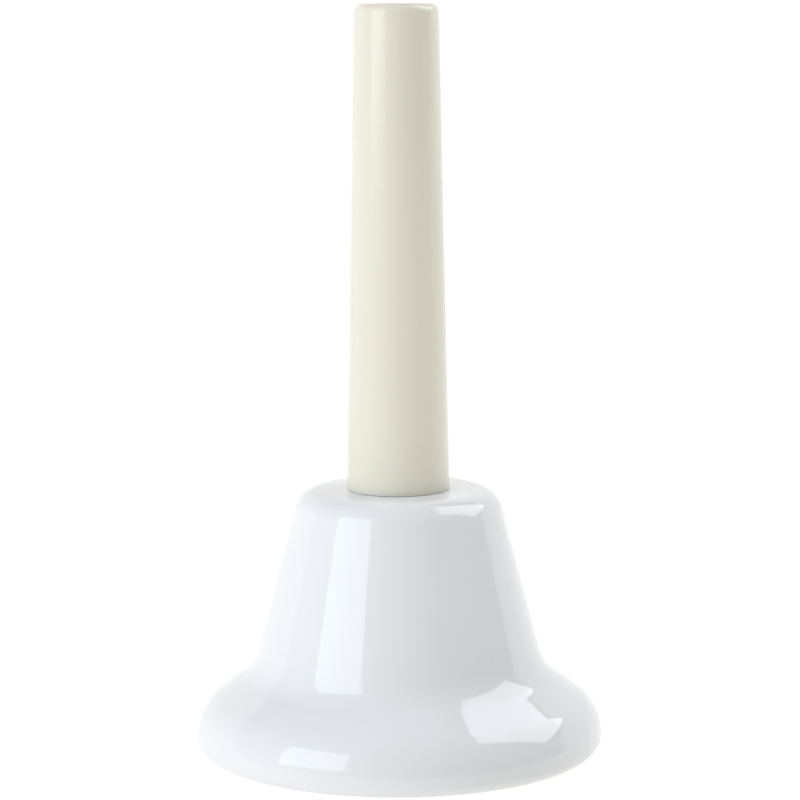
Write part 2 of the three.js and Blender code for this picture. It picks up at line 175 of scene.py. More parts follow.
def thread_tree():
    """A rod along Z with a plain middle and a cut thread at both ends. The section it is given is
    unused."""
    tree, given, close = shape_tree(
        "threaded_rod",
        Radius=1.5 * MM,
        Foot=0.0,
        Top=1.0,
        Pitch=0.5 * MM,
        Depth=0.25 * MM,
        Chamfer=0.4 * MM,
        Plain_From=0.0,
        Plain_To=0.0,
        Steps_Round=32,
        Rows=500,
    )

    def calc(operation, *values):
        return add(tree, "ShaderNodeMath", dict(enumerate(values)), operation=operation).outputs[0]

    columns = calc("ADD", given["Steps Round"], 1.0)
    grid = add(tree, "GeometryNodeMeshGrid", {"Vertices X": columns, "Vertices Y": given["Rows"]})
    spot = add(
        tree, "ShaderNodeSeparateXYZ", {0: add(tree, "GeometryNodeInputPosition").outputs[0]}
    ).outputs
    share = calc("ADD", spot["X"], 0.5)
    rise = calc("ADD", spot["Y"], 0.5)
    length = calc("SUBTRACT", given["Top"], given["Foot"])
    height = calc("MULTIPLY_ADD", rise, length, given["Foot"])

    phase = calc("SUBTRACT", calc("DIVIDE", height, given["Pitch"]), share)
    tooth = calc("MULTIPLY", calc("PINGPONG", phase, 0.5), 2.0)
    below = calc("LESS_THAN", height, given["Plain From"])
    above = calc("GREATER_THAN", height, given["Plain To"])
    threaded = calc("ADD", below, above)
    groove = calc("MULTIPLY", calc("MULTIPLY", tooth, threaded), given["Depth"])
    radius = calc("SUBTRACT", given["Radius"], groove)

    to_end = calc("MULTIPLY", calc("SUBTRACT", 0.5, calc("ABSOLUTE", spot["Y"])), length)
    limit = calc("ADD", to_end, calc("SUBTRACT", given["Radius"], given["Chamfer"]))
    inside = calc("GREATER_THAN", to_end, TINY)
    radius = calc("MULTIPLY", calc("MINIMUM", radius, limit), inside)

    across = add(tree, "ShaderNodeCombineXYZ", {"X": radius, "Z": height})
    turn = calc("MULTIPLY", share, math.tau)
    place = add(
        tree,
        "ShaderNodeVectorRotate",
        {"Vector": across.outputs[0], "Angle": turn},
        rotation_type="Z_AXIS",
    )
    wrapped = {"Geometry": grid.outputs["Mesh"], "Position": place.outputs[0]}
    rod = add(tree, "GeometryNodeSetPosition", wrapped)
    return close(rod.outputs[0])


# Mesh helpers

def tidy(mesh):
    """Merges doubles, turns the faces outwards and smooths all but the sharp edges."""
    work = bmesh.new()
    work.from_mesh(mesh)
    bmesh.ops.remove_doubles(work, verts=work.verts, dist=TINY)
    bmesh.ops.dissolve_degenerate(work, edges=work.edges, dist=TINY)
    bmesh.ops.recalc_face_normals(work, faces=work.faces)
    work.to_mesh(mesh)
    work.free()
    mesh.shade_smooth()
    mesh.set_sharp_from_angle(angle=SHARP)
    return mesh


def evaluated(holder):
    """The plain mesh that an object's modifiers or curve settings make. The object is removed."""
    bpy.context.view_layer.update()
    mesh = bpy.data.meshes.new_from_object(holder.evaluated_get(bpy.context.evaluated_depsgraph_get()))
    bpy.data.objects.remove(holder)
    return mesh


def shaped(tree, mesh, **inputs):
    """Runs a geometry tree on a mesh, with its inputs given by name."""
    holder = bpy.data.objects.new("holder", mesh)
    bpy.context.collection.objects.link(holder)
    modifier = holder.modifiers.new("shape", "NODES")
    modifier.node_group = tree
    named = {item.name: item.identifier for item in tree.interface.items_tree}
    for label, value in inputs.items():
        modifier[named[label.replace("_", " ")]] = value
    made = evaluated(holder)
    return tidy(made)


def combined(mesh, other, operation):
    """Joins another mesh to this one, or cuts it away."""
    holders = [bpy.data.objects.new("holder", each) for each in (mesh, other)]
    for holder in holders:
        bpy.context.collection.objects.link(holder)
    modifier = holders[0].modifiers.new("combine", "BOOLEAN")
    modifier.object = holders[1]
    modifier.operation = operation
    modifier.solver = "EXACT"
    made = evaluated(holders[0])
    bpy.data.objects.remove(holders[1])
    return tidy(made)


def settle(mesh, name, node, coat):
    """Makes the finished piece of a mesh. It stands for its CAD node, and moves with its body."""
    mesh.name = name
    mesh.materials.clear()
    mesh.materials.append(coat)
    made = bpy.data.objects.new(name, mesh)
    bpy.context.collection.objects.link(made)
    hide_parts(node)
    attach(made, frame["nodes"][node]["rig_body"])
    return made


TURNING = turning_tree()
THREADING = thread_tree()


def arc(out, height, radius, start, end, steps):
    """Corners along an arc, by the angle of its outward normal above the horizontal."""
    angles = [math.radians(start + (end - start) * i / steps) for i in range(steps + 1)]
    return [(out + radius * math.cos(a), height + radius * math.sin(a)) for a in angles]


def turned(corners, steps=64, per_corner=5):
    """Turns corners of (radius, height) or (radius, height, rounding), up the outside, down the inside.
    A section that starts and ends on the axis is solid, and any other closes on itself."""
    corners = [(*corner, 0.0)[:3] for corner in corners]
    count = len(corners)
    solid = corners[0][0] == 0 and corners[-1][0] == 0
    edges = [(i, (i + 1) % count) for i in range(count - 1 if solid else count)]
    section = bpy.data.meshes.new("section")
    section.from_pydata([(out, 0, height) for out, height, _ in corners], edges, [])
    rounding = section.attributes.new("rounding", "FLOAT", "POINT")
    rounding.data.foreach_set("value", [corner[2] for corner in corners])
    return shaped(TURNING, section, Steps_Round=steps, Steps_Per_Corner=per_corner)


def along_y(mesh, side=1):
    """Lays a mesh made about Z along the axle instead, its top towards the back, or the front."""
    turn = Matrix.Rotation(math.radians(-90 * side), 4, "X")
    mesh.transform(Matrix.Translation(PIVOT) @ turn)
    return mesh


def ring(inner, outer, low, high, edge, steps=64):
    """A turned ring with its four corners rounded."""
    corners = [(inner, low), (outer, low), (outer, high), (inner, high)]
    return turned([(*corner, edge) for corner in corners], steps, 4)


def stamped(outlines, sheet, edge=0.08 * MM):
    """Sheet stock cut to closed outlines, the first outside and the rest holes. Its top is at zero."""
    curve = bpy.data.curves.new("cut", "CURVE")
    curve.dimensions = "2D"
    curve.fill_mode = "BOTH"
    curve.extrude = sheet / 2 - edge
    curve.bevel_depth = edge
    curve.bevel_resolution = 0
    curve.offset = -edge
    for outline in outlines:
        spline = curve.splines.new("POLY")
        spline.points.add(len(outline) - 1)
        spline.use_cyclic_u = True
        for point, (x, y) in zip(spline.points, outline):
            point.co = (x, y, 0, 1)
    holder = bpy.data.objects.new("holder", curve)
    bpy.context.collection.objects.link(holder)
    mesh = evaluated(holder)
    mesh.transform(Matrix.Translation((0, 0, -sheet / 2)))
    return tidy(mesh)


def circle(x, y, radius, steps=40):
    """A closed outline round a point."""
    angles = [math.tau * i / steps for i in range(steps)]
    return [(x + radius * math.cos(a), y + radius * math.sin(a)) for a in angles]


def folded(mesh, flat, bend, sheet, top):
    """Folds flat stock down beyond a flat stretch. Its x becomes the way out, and its y stays across."""
    middle = bend - sheet / 2
    quarter = middle * math.pi / 2
    work = bmesh.new()
    work.from_mesh(mesh)
    rows = 8
    for i in range(rows + 1):
        for side in (-1, 1):
            place = (side * (flat + quarter * i / rows), 0, 0)
            everything = [*work.verts, *work.edges, *work.faces]
            bmesh.ops.bisect_plane(work, geom=everything, plane_co=place, plane_no=(1, 0, 0), dist=TINY)
    for vert in work.verts:
        along, across, depth = vert.co.x, vert.co.y, -vert.co.z
        reach = abs(along)
        turn = min(max(reach - flat, 0) / middle, math.pi / 2)
        drop = max(reach - flat - quarter, 0)
        out = min(reach, flat) + (bend - depth) * math.sin(turn)
        height = top - bend + (bend - depth) * math.cos(turn) - drop
        vert.co = (math.copysign(out, along), across, height)
    work.to_mesh(mesh)
    work.free()
    return tidy(mesh)


# Finishes

BROADER = 9  # how much broader the patches of colour are than the grain


def blend(tree, factor, first, second):
    """The colour between two others."""
    mix = add(tree, "ShaderNodeMix", data_type="RGBA")
    for key, value in ((0, factor), (6, first), (7, second)):
        if isinstance(value, bpy.types.NodeSocket):
            tree.links.new(value, mix.inputs[key])
        else:
            mix.inputs[key].default_value = value
    return mix.outputs[2]


def finish(name, light, dark, rough, grain, bump, stretch=(1, 1, 1), **surface):
    """A finish whose shade, roughness and relief follow one fine grain. rough is its lowest and highest.
    Returns the material, and the parts of its tree that a finish may build on."""
    coat = bpy.data.materials.new(name)
    coat.use_nodes = True
    tree = coat.node_tree
    shader = tree.nodes["Principled BSDF"]
    for socket, value in surface.items():
        shader.inputs[socket.replace("_", " ")].default_value = value
    where = add(tree, "ShaderNodeTexCoord").outputs["Object"]
    place = add(tree, "ShaderNodeMapping", {"Vector": where, "Scale": stretch}).outputs[0]
    broad = add(tree, "ShaderNodeTexNoise", {"Vector": place, "Scale": grain / BROADER, "Detail": 3.0})
    fine = add(tree, "ShaderNodeTexNoise", {"Vector": place, "Scale": grain, "Detail": 5.0})
    shade = blend(tree, broad.outputs["Fac"], (*light, 1), (*dark, 1))
    gloss = add(
        tree,
        "ShaderNodeMapRange",
        {
            "Value": fine.outputs["Fac"],
            "From Min": 0.3,
            "From Max": 0.7,
            "To Min": rough[0],
            "To Max": rough[1],
        },
    )
    relief = add(
        tree, "ShaderNodeBump", {"Height": fine.outputs["Fac"], "Strength": 1.0, "Distance": bump}
    )
    tree.links.new(shade, shader.inputs["Base Color"])
    tree.links.new(gloss.outputs[0], shader.inputs["Roughness"])
    tree.links.new(relief.outputs[0], shader.inputs["Normal"])
    made = {"tree": tree, "shader": shader, "where": where, "shade": shade, "relief": relief}
    return coat, made


def white_enamel():
    """Fired white enamel: a faint ripple under the gloss, and a scuffed ring where the rim stands."""
    coat, made = finish(
        "white_enamel",
        (0.775, 0.785, 0.8),
        (0.755, 0.765, 0.78),
        (0.05, 0.085),
        grain=420,
        bump=0.002 * MM,
    )
    tree = made["tree"]
    height = add(tree, "ShaderNodeSeparateXYZ", {0: made["where"]}).outputs["Z"]
    foot = add(
        tree,
        "ShaderNodeMapRange",
        {"Value": height, "From Min": 0.01 * MM, "From Max": 0.12 * MM, "To Min": 0.5, "To Max": 0.0},
    )
    scuffs = add(tree, "ShaderNodeTexNoise", {"Vector": made["where"], "Scale": 600.0, "Detail": 6.0})
    patchy = add(
        tree, "ShaderNodeMapRange", {"Value": scuffs.outputs["Fac"], "From Min": 0.5, "From Max": 0.75}
    )
    worn = add(tree, "ShaderNodeMath", {0: foot.outputs[0], 1: patchy.outputs[0]}, operation="MULTIPLY")
    scuffed = blend(tree, worn.outputs[0], made["shade"], (0.42, 0.43, 0.44, 1))
    tree.links.new(scuffed, made["shader"].inputs["Base Color"])
    return coat


def ivory_plastic():
    """Moulded ivory plastic: a soft gloss, and flow lines that run along the handle."""
    coat, _ = finish(
        "ivory_plastic",
        (0.742, 0.718, 0.622),
        (0.73, 0.704, 0.605),
        (0.17, 0.22),
        grain=700,
        bump=0.001 * MM,
        stretch=(1, 1, 0.3),
        Subsurface_Weight=0.3,
        Subsurface_Radius=(1.0, 0.65, 0.4),
        Subsurface_Scale=2.5 * MM,
    )
    return coat


def natural_nylon():
    """Unpigmented nylon, slightly cloudy, with a matt moulded skin."""
    coat, _ = finish(
        "natural_nylon",
        (0.76, 0.74, 0.67),
        (0.7, 0.68, 0.6),
        (0.38, 0.52),
        grain=1500,
        bump=0.006 * MM,
        Subsurface_Weight=0.2,
        Subsurface_Radius=(1.0, 0.9, 0.7),
        Subsurface_Scale=1.0 * MM,
    )
    return coat


def zinc_steel():
    """Bright zinc over drawn steel: a bluish grey with fine draw marks."""
    coat, _ = finish(
        "zinc_steel",
        (0.62, 0.635, 0.66),
        (0.5, 0.515, 0.545),
        (0.285, 0.38),
        grain=1600,
        bump=0.004 * MM,
        stretch=(1, 0.25, 1),
        Metallic=1.0,
    )
    return coat


def turned_brass():
    """Brass off the lathe, its tool marks run round the piece."""
    coat, _ = finish(
        "turned_brass",
        (0.78, 0.58, 0.27),
        (0.66, 0.47, 0.2),
        (0.28, 0.36),
        grain=2400,
        bump=0.005 * MM,
        stretch=(0.2, 1, 1),
        Metallic=1.0,
    )
    return coat


def spring_bronze():
    """Rolled phosphor bronze, browner than brass, with a lengthwise grain."""
    coat, _ = finish(
        "spring_bronze",
        (0.68, 0.42, 0.22),
        (0.5, 0.29, 0.14),
        (0.285, 0.4),
        grain=2000,
        bump=0.004 * MM,
        stretch=(1, 1, 0.15),
        Metallic=1.0,
    )
    return coat


def vulcan_fibre():
    """Pressed buff fibre sheet with short darker flecks."""
    coat, _ = finish(
        "vulcan_fibre",
        (0.5, 0.44, 0.36),
        (0.36, 0.3, 0.23),
        (0.6, 0.85),
        grain=3000,
        bump=0.02 * MM,
        stretch=(1, 1, 3),
    )
    return coat


def wool_felt():
    """Dark red pressed felt: matted fibres with a soft sheen at grazing light."""
    coat, made = finish(
        "wool_felt",
        (0.34, 0.035, 0.03),
        (0.2, 0.015, 0.015),
        (0.85, 1.0),
        grain=2600,
        bump=0.08 * MM,
        Sheen_Weight=0.4,
        Sheen_Roughness=0.5,
    )
    tree = made["tree"]
    fibres = add(
        tree, "ShaderNodeTexVoronoi", {"Vector": made["where"], "Scale": 5200.0, "Randomness": 1.0}
    )
    matted = add(
        tree,
        "ShaderNodeBump",
        {
            "Height": fibres.outputs["Distance"],
            "Distance": 0.05 * MM,
            "Normal": made["relief"].outputs[0],
        },
    )
    tree.links.new(matted.outputs[0], made["shader"].inputs["Normal"])
    return coat


def black_rubber():
    """Moulded black rubber with a faint grey bloom."""
    coat, _ = finish(
        "black_rubber",
        (0.035, 0.035, 0.037),
        (0.02, 0.02, 0.021),
        (0.5, 0.72),
        grain=1300,
        bump=0.015 * MM,
    )
    return coat


ENAMEL = white_enamel()
IVORY = ivory_plastic()
NYLON = natural_nylon()
STEEL = zinc_steel()
BRASS = turned_brass()
BRONZE = spring_bronze()
FIBRE = vulcan_fibre()
FELT = wool_felt()
RUBBER = black_rubber()


# Cup and handle

def crossing(line, other):
    """Where two lines meet, each a point and a slope in degrees below the horizontal, outwards."""
    (r1, z1), slope1 = line
    (r2, z2), slope2 = other
    d1 = (math.cos(math.radians(slope1)), -math.sin(math.radians(slope1)))
    d2 = (math.cos(math.radians(slope2)), -math.sin(math.radians(slope2)))
    along = ((r2 - r1) * d2[1] - (z2 - z1) * d2[0]) / (d1[0] * d2[1] - d1[1] * d2[0])
    return r1 + along * d1[0], z1 + along * d1[1]


def cup():
    """The bell cup. Its side is a steep wall, a flare and a belly over an inturned lip, each corner
    rounded, and the inside follows the outside one sheet further in."""
    mouth, _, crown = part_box("bell_cup")[1]
    wall_slope, flare_slope = 75.5, 36.3  # degrees below the horizontal
    shoulder, throat, belly, lip = 5.1 * MM, 10 * MM, 10 * MM, 2.9 * MM
    sheet, flange, flange_edge = 1.2 * MM, 1.7 * MM, 0.59 * MM
    crown_flat, hole_edge = 15.45 * MM, 0.3 * MM
    lean = math.radians(90 - flare_slope)
    flare_touch = (mouth - belly + belly * math.cos(lean), lip + belly * math.sin(lean))
    flare_line = (flare_touch, flare_slope)
    crown_edge = crown_flat + shoulder * math.tan(math.radians(wall_slope / 2))
    wall_line = ((crown_edge, crown), wall_slope)

    def side(inset):
        """The corners from the rim up to the crown's edge, moved inwards."""
        def moved(line):
            (out, height), slope = line
            away = math.radians(slope)
            return (out - inset * math.sin(away), height - inset * math.cos(away)), slope

        upright = ((mouth - inset, 0), 90)
        top = ((0, crown - inset), 0)
        return [
            (mouth - inset, inset, lip - inset),
            (*crossing(upright, moved(flare_line)), belly - inset),
            (*crossing(moved(flare_line), moved(wall_line)), throat + inset),
            (*crossing(moved(wall_line), top), shoulder - inset),
        ]

    flange_end = mouth - lip - flange - flange_edge
    corners = [
        (flange_end, 0, flange_edge),
        *side(0),
        (SCREW_HOLE, crown, hole_edge),
        (SCREW_HOLE, crown - sheet, hole_edge),
        *reversed(side(sheet)),
        (flange_end, sheet, flange_edge),
    ]
    settle(turned(corners, 192, 20), "enamelled_cup", "bell_cup", ENAMEL)


def handle():
    """The grip, hollow from below, with the plug and the insert that take the clamp screw. A thin skirt
    round its foot hides the washer it stands on."""
    low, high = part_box("handle_grip")
    base, foot, end = high.x, low.z, high.z
    top, end_round = 8.15 * MM, 1.8 * MM
    wall, cap, ledge = 2.2 * MM, 2.6 * MM, 1 * MM
    recess, skirt = base - 0.35 * MM, 0.46 * MM
    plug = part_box("handle_plug")
    socket, socket_top = plug[1].x + SLACK, plug[1].z + SLACK
    corners = [
        (0, end - cap),
        (top - wall, end - cap, 0.8 * MM),
        (socket - ledge, socket_top),
        (socket, socket_top),
        (socket, foot),
        (recess, foot),
        (recess, foot - skirt, 0.06 * MM),
        (base, foot - skirt, 0.1 * MM),
        (top, end, end_round),
        (0, end),
    ]
    settle(turned(corners, 144, 14), "ivory_grip", "handle_grip", IVORY)

    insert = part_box("threaded_insert")
    bore = insert[1].x + SLACK
    plug_ring = ring(bore, plug[1].x, plug[0].z, plug[1].z, 0.3 * MM)
    settle(plug_ring, "grip_plug", "handle_plug", NYLON)

    outer, low_z, high_z = insert[1].x, insert[0].z, insert[1].z
    waist = outer - 0.3 * MM
    middle, band = (low_z + high_z) / 2, 1 * MM
    corners = [
        (SCREW_BORE, low_z, 0.2 * MM),
        (outer, low_z, 0.3 * MM),
        (outer, middle - band, 0.1 * MM),
        (waist, middle - band / 2, 0.2 * MM),
        (waist, middle + band / 2, 0.2 * MM),
        (outer, middle + band, 0.1 * MM),
        (outer, high_z, 0.3 * MM),
        (SCREW_BORE, high_z, 0.2 * MM),
    ]
    settle(turned(corners), "brass_insert", "threaded_insert", BRASS)


# Clamp stack

def clamp_stack():
    """The washers either side of the crown, the toothed washer and the cross-head screw."""
    for node, name in (("crown_washer", "crown_seal"), ("inner_washer", "fibre_washer")):
        low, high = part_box(node)
        settle(ring(SCREW_HOLE, high.x, low.z, high.z, WASHER_EDGE), name, node, FIBRE)

    low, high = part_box("lock_washer")
    teeth, notch = 12, 0.5 * MM
    outline = []
    for i in range(teeth * 4):
        radius = high.x - (notch if i % 4 in (2, 3) else 0)
        angle = math.tau * i / (teeth * 4)
        outline.append((radius * math.cos(angle), radius * math.sin(angle)))
    washer = stamped([outline, circle(0, 0, SCREW_BORE)], high.z - low.z)
    washer.transform(Matrix.Translation((0, 0, high.z)))
    settle(washer, "toothed_washer", "lock_washer", STEEL)

    low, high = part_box("clamp_screw")
    head, shank, head_height, point = high.x, 2 * MM, 2.3 * MM, 0.7 * MM
    dome, recess_length, recess_width, recess_depth = 1.4 * MM, 3.6 * MM, 0.9 * MM, 1.2 * MM
    corners = [
        (0, low.z),
        (head, low.z, dome),
        (head, low.z + head_height, 0.15 * MM),
        (shank, low.z + head_height),
        (shank, high.z - point),
        (shank - point, high.z),
        (0, high.z),
    ]
    screw = turned(corners)
    for turn in (0, 90):
        outline = rectangle(recess_length, recess_width, 0.2 * MM)
        slot = stamped([outline], 2 * recess_depth, 0.02 * MM)
        cross = Matrix.Rotation(math.radians(turn), 4, "Z")
        slot.transform(Matrix.Translation((0, 0, low.z + recess_depth)) @ cross)
        screw = combined(screw, slot, "DIFFERENCE")
    settle(screw, "cross_head_screw", "clamp_screw", STEEL)


def rectangle(length, width, corner, steps=4):
    """A closed outline of a rectangle about the origin with round corners."""
    outline = []
    for i, (x, y) in enumerate(((1, 1), (-1, 1), (-1, -1), (1, -1))):
        centre = (x * (length / 2 - corner), y * (width / 2 - corner))
        for step in range(steps + 1):
            angle = math.pi / 2 * (i + step / steps)
            outline.append((centre[0] + corner * math.cos(angle), centre[1] + corner * math.sin(angle)))
    return outline


# Yoke, axle and springs

def folded_yoke():
    """One stamping: a plate with two round-ended ears, folded down in front of and behind the eye."""
    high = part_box("yoke")[1]
    sheet, bend, ear, relief = 1.2 * MM, 1.6 * MM, 3.5 * MM, 0.6 * MM
    plate = high.x
    flat = high.y - bend
    quarter = (bend - sheet / 2) * math.pi / 2
    axle = flat + quarter + high.z - bend - PIVOT.z
    plate_end = flat + 0.3 * MM

    angles = [math.pi * (i / 24 - 0.5) for i in range(25)]
    half = [(plate_end, -plate), (plate_end, -ear - relief), (plate_end + relief, -ear)]
    half += [(axle + ear * math.cos(a), ear * math.sin(a)) for a in angles]
    half += [(plate_end + relief, ear), (plate_end, ear + relief), (plate_end, plate)]
    outline = half + [(-x, -y) for x, y in half]
    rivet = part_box("spring_rivet_right")
    rivet_place = (rivet[0].x + rivet[1].x) / 2
    holes = [circle(0, 0, SCREW_HOLE)]
    holes += [circle(0, side * rivet_place, RIVET_HOLE) for side in (1, -1)]
    holes += [circle(side * axle, 0, RUNNING_BORE) for side in (-1, 1)]
    mesh = folded(stamped([outline, *holes], sheet), flat, bend, sheet, high.z)
    mesh.transform(Matrix.Rotation(math.radians(90), 4, "Z"))
    settle(mesh, "folded_yoke", "yoke", STEEL)


def axle():
    """The headed pin with its clip and the two spacers."""
    low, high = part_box("axle_pin")
    shank, groove, head_height = 1.25 * MM, 0.9 * MM, 0.9 * MM
    clip_low, clip_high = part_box("axle_clip")
    head = high.x
    front, back = low.y, high.y
    corners = [
        (0, front),
        (head, front, 0.5 * MM),
        (head, front + head_height, 0.12 * MM),
        (shank, front + head_height),
        (shank, clip_low.y - SLACK, 0.05 * MM),
        (groove, clip_low.y - SLACK),
        (groove, clip_high.y + SLACK),
        (shank, clip_high.y + SLACK, 0.05 * MM),
        (shank, back, 0.4 * MM),
        (0, back),
    ]
    settle(along_y(turned(corners)), "axle_pin_headed", "axle_pin", STEEL)

    outer, inner, mouth = clip_high.x, groove + SLACK, 0.75 * MM

    def part_circle(radius):
        gap = math.asin(mouth / radius)
        return [(radius, -math.pi / 2 + gap + (math.tau - 2 * gap) * i / 40) for i in range(41)]

    outline = part_circle(outer) + part_circle(inner)[::-1]
    flat = [(radius * math.cos(angle), radius * math.sin(angle)) for radius, angle in outline]
    clip = stamped([flat], clip_high.y - clip_low.y, 0.05 * MM)
    upright = Matrix.Rotation(math.radians(90), 4, "X")
    clip.transform(Matrix.Translation((0, clip_low.y, PIVOT.z)) @ upright)
    settle(clip, "snap_clip", "axle_clip", STEEL)

    for label, side in (("rear", 1), ("front", -1)):
        node = f"axle_spacer_{label}"
        low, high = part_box(node)
        near, far = sorted((abs(low.y), abs(high.y)))
        spacer = ring(RUNNING_BORE, high.x, near, far, 0.12 * MM)
        settle(along_y(spacer, side), f"{label}_spacer", node, NYLON)


def springs():
    """A bronze leaf, its rivet and its felt pad on each side."""
    for side, label in ((-1, "left"), (1, "right")):
        turn = Matrix.Rotation(0 if side > 0 else math.pi, 4, "Z")
        low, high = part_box("spring_right")
        sheet, bend, corner = 0.4 * MM, 1.2 * MM, 1.2 * MM
        flat = high.x - bend
        length = flat + (bend - sheet / 2) * math.pi / 2 + high.z - bend - low.z - low.x
        outline = rectangle(length, high.y - low.y, corner)
        outline = [(x + length / 2 + low.x, y) for x, y in outline]
        rivet_low, rivet_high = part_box("spring_rivet_right")
        place = (rivet_low.x + rivet_high.x) / 2
        blank = stamped([outline, circle(place, 0, RIVET_HOLE)], sheet, 0.05 * MM)
        leaf = folded(blank, flat, bend, sheet, high.z)
        leaf.transform(turn)
        settle(leaf, f"bronze_leaf_{label}", f"spring_{label}", BRONZE)

        head, shank = rivet_high.x - place, 1 * MM
        head_height, dome = 0.5 * MM, 0.42 * MM
        corners = [
            (0, rivet_low.z),
            (head, rivet_low.z, dome),
            (head, rivet_low.z + head_height),
            (shank, rivet_low.z + head_height),
            (shank, rivet_high.z - head_height),
            (head, rivet_high.z - head_height),
            (head, rivet_high.z, dome),
            (0, rivet_high.z),
        ]
        rivet = turned(corners, 40)
        rivet.transform(turn @ Matrix.Translation((place, 0, 0)))
        settle(rivet, f"leaf_rivet_{label}", f"spring_rivet_{label}", STEEL)
        settle(felt_block(f"spring_pad_{label}"), f"felt_block_{label}", f"spring_pad_{label}", FELT)


def felt_block(node):
    """A cut block of felt: soft edges, and faces that the matted fibres leave slightly uneven."""
    low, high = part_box(node)
    centre, half = (low + high) / 2, (high - low) / 2
    edge, fuzz, fineness = 0.3 * MM, 0.05 * MM, 1400
    work = bmesh.new()
    bmesh.ops.create_cube(work, size=2)
    bmesh.ops.subdivide_edges(work, edges=work.edges, cuts=15, use_grid_fill=True)
    for vert in work.verts:
        spot = Vector([vert.co[i] * half[i] for i in range(3)])
        core = Vector([max(min(spot[i], half[i] - edge), edge - half[i]) for i in range(3)])
        away = (spot - core).normalized()
        lump = fuzz * (noise.noise((spot + centre) * fineness) - 1)
        vert.co = centre + core + away * (edge + lump)
    mesh = bpy.data.meshes.new(node)
    work.to_mesh(mesh)
    work.free()
    return tidy(mesh)


# Clapper

def clapper_eye():
    """The moulded eye: a barrel on the axle and a boss that takes the rod, with a brass bush."""
    low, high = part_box("clapper_eye")
    barrel, half, foot = high.x, high.y, low.z - PIVOT.z
    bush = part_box("eye_bush")
    bush_radius = bush[1].x
    boss, edge, socket_top = 2.5 * MM, 0.5 * MM, -2.9 * MM

    hub = along_y(turned([(0, -half), (barrel, -half, edge), (barrel, half, edge), (0, half)], 96))
    neck = turned([(0, foot), (boss, foot, edge), (boss + 0.3 * MM, 0), (0, 0)], 96)
    neck.transform(Matrix.Translation(PIVOT))
    body = combined(hub, neck, "UNION")
    hole, through = bush_radius + SLACK, 2 * half
    bore = along_y(turned([(0, -through), (hole, -through), (hole, through), (0, through)], 64))
    body = combined(body, bore, "DIFFERENCE")
    socket = turned([(0, 2 * foot), (ROD_HOLE, 2 * foot), (ROD_HOLE, socket_top), (0, socket_top)], 48)
    socket.transform(Matrix.Translation(PIVOT))
    body = combined(body, socket, "DIFFERENCE")
    settle(body, "moulded_eye", "clapper_eye", NYLON)
    sleeve = along_y(ring(RUNNING_BORE, bush_radius, -half, half, 0.12 * MM))
    settle(sleeve, "brass_bush", "eye_bush", BRASS)


def clapper_rod():
    """The steel rod, threaded at both ends."""
    low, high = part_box("clapper_rod")
    blank = bpy.data.meshes.new("blank")
    rod = shaped(
        THREADING,
        blank,
        Radius=high.x,
        Foot=low.z,
        Top=high.z,
        Pitch=0.5 * MM,
        Depth=0.27 * MM,
        Chamfer=0.4 * MM,
        Plain_From=low.z + 24 * MM,
        Plain_To=high.z - 5 * MM,
        Steps_Round=36,
        Rows=560,
    )
    settle(rod, "threaded_rod", "clapper_rod", STEEL)


def clapper_head():
    """The nylon ball with flat ends and a groove, and the rubber ring seated in it."""
    low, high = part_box("clapper_head")
    centre, radius, flat = (low.z + high.z) / 2, 8 * MM, (high.z - low.z) / 2
    groove, half_groove, hole_edge = 6.9 * MM, 2 * MM, 0.2 * MM
    flat_angle = math.degrees(math.asin(flat / radius))
    groove_angle = math.degrees(math.asin(half_groove / radius))
    corners = [
        (ROD_HOLE, centre - flat, hole_edge),
        *arc(0, centre, radius, -flat_angle, -groove_angle, 16),
        (groove, centre - half_groove),
        (groove, centre + half_groove),
        *arc(0, centre, radius, groove_angle, flat_angle, 16),
        (ROD_HOLE, centre + flat, hole_edge),
    ]
    settle(turned(corners, 128, 3), "nylon_ball", "clapper_head", NYLON)

    low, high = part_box("striker_ring")
    inner, half = groove + SLACK, (high.z - low.z) / 2
    seat_edge, tread = 0.2 * MM, 1.5 * MM
    corners = [
        (inner, centre - half, seat_edge),
        (high.x, centre - half, tread),
        (high.x, centre + half, tread),
        (inner, centre + half, seat_edge),
    ]
    settle(turned(corners, 128, 12), "rubber_striker", "striker_ring", RUBBER)


def hex_nut(node):
    """A hexagon nut, its corners chamfered at 30 degrees on both faces."""
    low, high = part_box(node)
    flats, hole = high.y, 1.55 * MM
    bearing, slope, lead_in = flats * 0.94, math.radians(30), 0.25 * MM
    steps = 96
    work = bmesh.new()
    loops = []
    for i in range(steps):
        angle = math.tau * i / steps
        corner = flats / math.cos((angle % (math.pi / 3)) - math.pi / 6)
        drop = (corner - bearing) * math.tan(slope)
        section = [
            (hole, low.z + lead_in),
            (hole + lead_in, low.z),
            (bearing, low.z),
            (corner, low.z + drop),
            (corner, high.z - drop),
            (bearing, high.z),
            (hole + lead_in, high.z),
            (hole, high.z - lead_in),
        ]
        loops.append([work.verts.new((r * math.cos(angle), r * math.sin(angle), z)) for r, z in section])
    for here, after in zip(loops, loops[1:] + loops[:1]):
        for j in range(len(here)):
            k = (j + 1) % len(here)
            work.faces.new((here[j], after[j], after[k], here[k]))
    mesh = bpy.data.meshes.new(node)
    work.to_mesh(mesh)
    work.free()
    return tidy(mesh)


def head_fixings():
    """A nut and a washer above the ball, and a nut and a washer below it."""
    for label in ("upper", "lower"):
        low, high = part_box(f"{label}_washer")
        washer = ring(ROD_HOLE, high.x, low.z, high.z, WASHER_EDGE)
        settle(washer, f"{label}_flat_washer", f"{label}_washer", STEEL)
        settle(hex_nut(f"{label}_nut"), f"{label}_hex_nut", f"{label}_nut", STEEL)


# Studio

CAMERA_PLACE = (0.0004, -0.55, 0.148)
CAMERA_LENS = 128.2  # millimetres, on a 36 mm sensor
CAMERA_DIP, CAMERA_ROLL = 8.16, -0.23  # degrees

